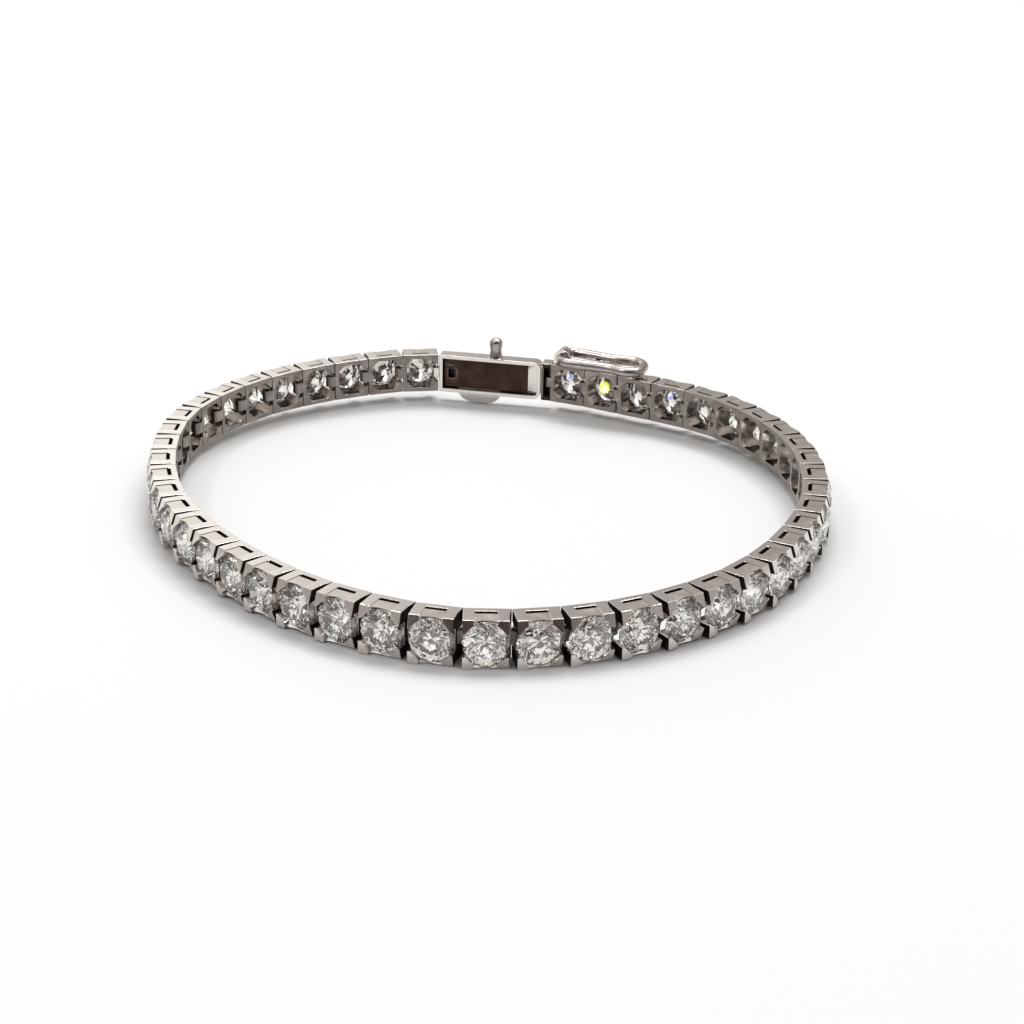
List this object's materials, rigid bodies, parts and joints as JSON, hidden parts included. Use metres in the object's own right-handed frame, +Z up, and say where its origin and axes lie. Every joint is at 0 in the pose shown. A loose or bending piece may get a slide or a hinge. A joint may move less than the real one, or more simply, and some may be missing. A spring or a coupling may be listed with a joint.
{
  "type": "tennis bracelet",
  "caption": "Flexible line bracelet of square box links, each set with one round brilliant, closed by a box clasp with a release tab and a hinged wire safety catch.",
  "frame": {"origin": "middle of the bracelet seen from above, at the level of its lowest point", "axes": "+Z up out of the plane of the loop, +Y from the front stones towards the clasp, +X right as the picture sees it"},
  "size_m": [0.0586, 0.0634, 0.0068],
  "materials": {
    "white_gold": "polished, rhodium-plated",
    "diamond": "cut and polished"
  },
  "bodies": {
    "root": {"stone_link_01": "white_gold", "stone_link_02": "white_gold", "stone_link_03": "white_gold", "stone_link_04": "white_gold", "stone_link_05": "white_gold", "stone_link_06": "white_gold", "stone_link_07": "white_gold", "stone_link_08": "white_gold", "stone_link_09": "white_gold", "stone_link_10": "white_gold", "stone_link_11": "white_gold", "stone_link_12": "white_gold", "stone_link_13": "white_gold", "stone_link_14": "white_gold", "stone_link_15": "white_gold", "stone_link_16": "white_gold", "stone_link_17": "white_gold", "stone_link_18": "white_gold", "stone_link_19": "white_gold", "stone_link_20": "white_gold", "stone_link_21": "white_gold", "stone_link_22": "white_gold", "stone_link_23": "white_gold", "stone_link_24": "white_gold", "stone_link_25": "white_gold", "stone_link_26": "white_gold", "stone_link_27": "white_gold", "stone_link_28": "white_gold", "stone_link_29": "white_gold", "stone_link_30": "white_gold", "stone_link_31": "white_gold", "stone_link_32": "white_gold", "stone_link_33": "white_gold", "stone_link_34": "white_gold", "stone_link_35": "white_gold", "stone_link_36": "white_gold", "stone_link_37": "white_gold", "stone_link_38": "white_gold", "stone_link_39": "white_gold", "stone_link_40": "white_gold", "stone_link_41": "white_gold", "stone_link_42": "white_gold", "stone_link_43": "white_gold", "stone_link_44": "white_gold", "stone_link_45": "white_gold", "stone_link_46": "white_gold", "clasp_box": "white_gold", "clasp_tongue": "white_gold"},
    "catch": {"safety_catch": "white_gold"}
  },
  "joints": [
    {"name": "safety_catch_hinge", "type": "hinge", "parent": "root", "child": "catch", "pos_m": [0.00724, 0.02742, 0.00541], "axis": [-0.3114, -0.9501, -0.0173], "range_deg": [0, 180]}
  ]
}
